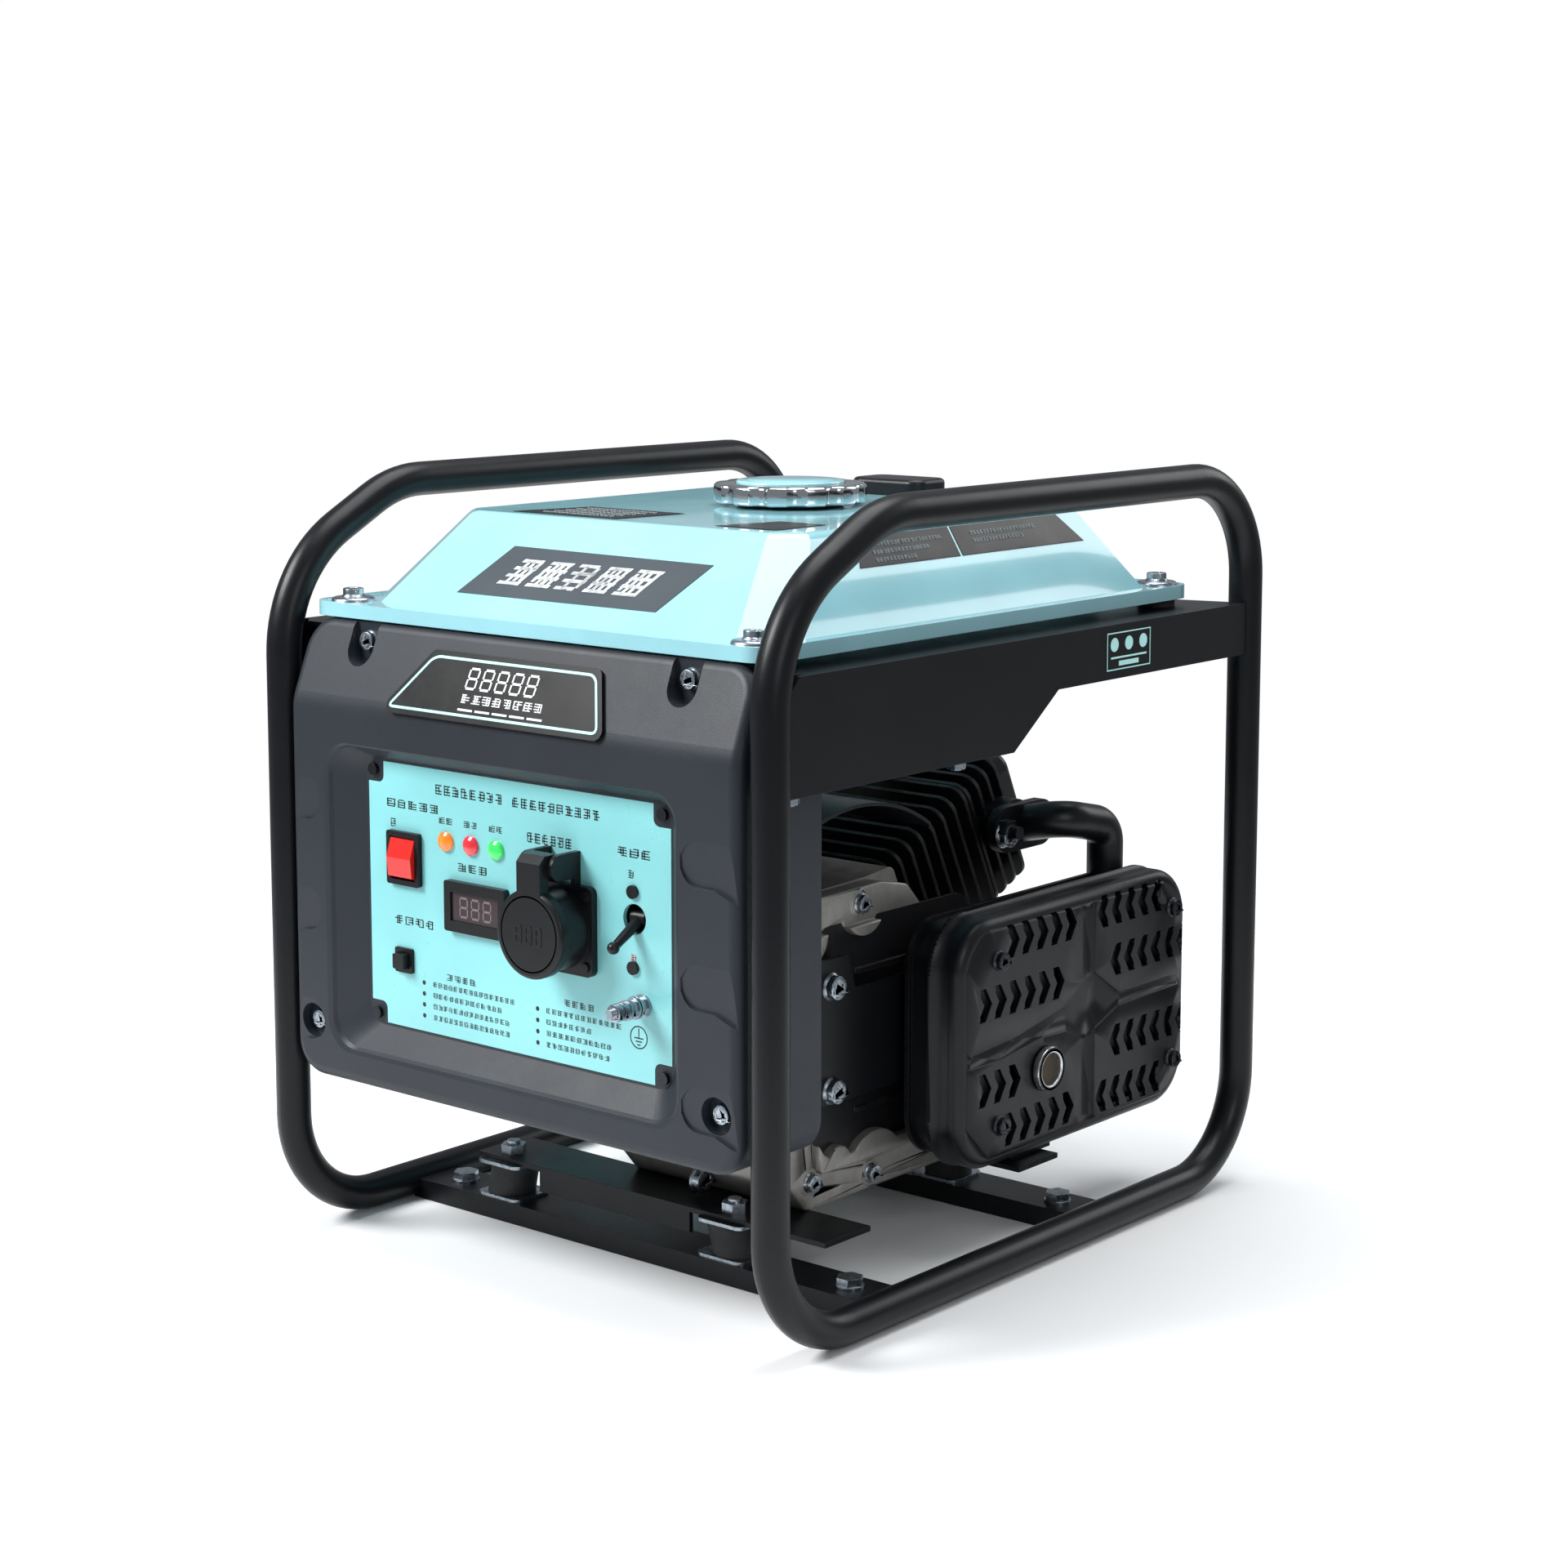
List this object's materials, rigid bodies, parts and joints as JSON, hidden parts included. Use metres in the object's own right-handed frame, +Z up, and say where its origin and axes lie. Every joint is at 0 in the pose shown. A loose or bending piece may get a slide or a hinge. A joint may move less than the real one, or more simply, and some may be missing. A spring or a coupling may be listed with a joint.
{
  "type": "portable generator",
  "caption": "Open-frame portable inverter generator with a fuel tank, control panel with covered socket, recoil-start engine and guarded muffler.",
  "frame": {"origin": "middle of the bottom of the whole object's box", "axes": "+Z up, the control panel faces -Y, the muffler side faces +X"},
  "size_m": [0.382, 0.4772, 0.4425],
  "materials": {
    "frame_steel": "satin black paint",
    "tank_paint": "gloss pale cyan paint",
    "fascia_plastic": "fine grain",
    "panel_mint": "satin print",
    "zinc": "zinc plated",
    "black_screw": "black oxide",
    "black_plastic": "satin",
    "red_plastic": "gloss",
    "amber_lens": "clear tinted",
    "red_lens": "clear tinted",
    "green_lens": "clear tinted",
    "meter_glass": "dark tinted",
    "badge_print": "gloss with mint edge",
    "rubber": "matte",
    "cast_metal": "die cast",
    "black_metal": "heat resistant black",
    "rotating_steel": "machined",
    "cast_black": "matte",
    "copper": "wound wire",
    "blower_cyan": "gloss cyan paint",
    "chrome": "polished",
    "orange_plastic": "gloss",
    "exhaust_steel": "heat tinted",
    "ceramic": "glazed"
  },
  "bodies": {
    "chassis": {"air_filter_box": "black_plastic", "alternator_stator": "copper", "badge": "badge_print", "blower_housing": "blower_cyan", "breaker_body": "black_plastic", "carburettor": "cast_metal", "control_panel": "panel_mint", "crankcase": "cast_metal", "crankcase_cover": "cast_metal", "cross_beams": "frame_steel", "cylinder": "cast_black", "cylinder_head": "cast_black", "engine_bolts": "zinc", "engine_rails": "frame_steel", "exhaust_pipe": "exhaust_steel", "fascia": "fascia_plastic", "fascia_screws": "zinc", "frame_bolts": "zinc", "fuel_gauge": "black_plastic", "fuel_hose": "rubber", "fuel_valve": "cast_metal", "ground_terminal": "zinc", "heat_shield": "black_metal", "inverter_module": "cast_metal", "lamp_amber": "amber_lens", "lamp_green": "green_lens", "lamp_red": "red_lens", "left_frame_loop": "frame_steel", "muffler_body": "exhaust_steel", "muffler_guard": "black_metal", "panel_screws": "black_screw", "recoil_housing": "black_plastic", "reset_housing": "black_plastic", "right_frame_loop": "frame_steel", "rubber_mounts": "rubber", "socket_base": "black_plastic", "spark_plug": "ceramic", "switch_frame": "black_plastic", "tank_bolts": "zinc", "tank_lower": "tank_paint", "tank_rails": "frame_steel", "tank_upper": "tank_paint", "valve_cover": "black_metal", "voltmeter": "black_plastic", "voltmeter_window": "meter_glass"},
    "rocker": {"switch_rocker": "red_plastic"},
    "reset_key": {"reset_button": "black_plastic"},
    "socket_lid": {"socket_flap": "black_plastic"},
    "toggle": {"breaker_lever": "black_plastic"},
    "cap_core": {"cap_plug": "black_plastic"},
    "cap_shell": {"fuel_cap": "chrome"},
    "tap_lever": {"fuel_valve_lever": "black_plastic"},
    "oil_stick": {"oil_dipstick": "orange_plastic"},
    "crank": {"crankshaft": "rotating_steel", "alternator_rotor": "rotating_steel", "cooling_fan": "black_plastic"},
    "pulley": {"starter_pulley": "black_plastic"},
    "pull_grip": {"starter_handle": "black_plastic"},
    "choke": {"choke_lever": "black_plastic"},
    "filter_lid": {"air_filter_cover": "black_plastic"}
  },
  "joints": [
    {"name": "rocker_tilt", "type": "hinge", "parent": "chassis", "child": "rocker", "pos_m": [-0.0842, -0.2108, 0.233], "axis": [1, 0, 0], "range_deg": [0, 18]},
    {"name": "reset_press", "type": "slide", "parent": "chassis", "child": "reset_key", "axis": [0, 1, 0], "range_m": [0, 0.002], "stiffness_N_per_m": 150, "springref_m": -0.002},
    {"name": "socket_lid_swing", "type": "hinge", "parent": "chassis", "child": "socket_lid", "pos_m": [0.037, -0.2268, 0.247], "axis": [-1, 0, 0], "range_deg": [0, 95], "stiffness_Nm_per_rad": 0.02, "springref_deg": -17.19},
    {"name": "breaker_toggle", "type": "hinge", "parent": "chassis", "child": "toggle", "pos_m": [0.0876, -0.2063, 0.223], "axis": [-1, 0, 0], "range_deg": [0, 50]},
    {"name": "cap_lift", "type": "slide", "parent": "chassis", "child": "cap_core", "axis": [0, 0, 1], "range_m": [0, 0.08]},
    {"name": "cap_turn", "type": "hinge", "parent": "cap_core", "child": "cap_shell", "pos_m": [0.004, 0.0136, 0.419], "axis": [0, 0, 1], "range_deg": [0, 90]},
    {"name": "tap_turn", "type": "hinge", "parent": "chassis", "child": "tap_lever", "pos_m": [-0.06, 0.06661, 0.295], "axis": [-1, 0, 0], "range_deg": [0, 90]},
    {"name": "dipstick_pull", "type": "slide", "parent": "chassis", "child": "oil_stick", "axis": [0, -0.7071, 0.7071], "range_m": [0, 0.045]},
    {"name": "crank_spin", "type": "hinge", "parent": "chassis", "child": "crank", "pos_m": [0, -0.0274, 0.146], "axis": [1, 0, 0], "continuous": true},
    {"name": "rope_pull", "type": "slide", "parent": "chassis", "child": "pull_grip", "axis": [0, 1, 0], "range_m": [0, 0.5], "stiffness_N_per_m": 12, "springref_m": -0.3},
    {"name": "pulley_turn", "type": "hinge", "parent": "chassis", "child": "pulley", "pos_m": [-0.1525, -0.0274, 0.146], "axis": [-1, 0, 0], "range_deg": [0, 660]},
    {"name": "choke_turn", "type": "hinge", "parent": "chassis", "child": "choke", "pos_m": [-0.039, 0.12861, 0.23616], "axis": [0, 0, 1], "range_deg": [0, 60]},
    {"name": "filter_lid_pull", "type": "slide", "parent": "chassis", "child": "filter_lid", "axis": [-1, 0, 0], "range_m": [0, 0.012]}
  ],
  "couplings": [
    {"joint": "pulley_turn", "follows": "rope_pull", "rad_per_m": 22.222}
  ]
}
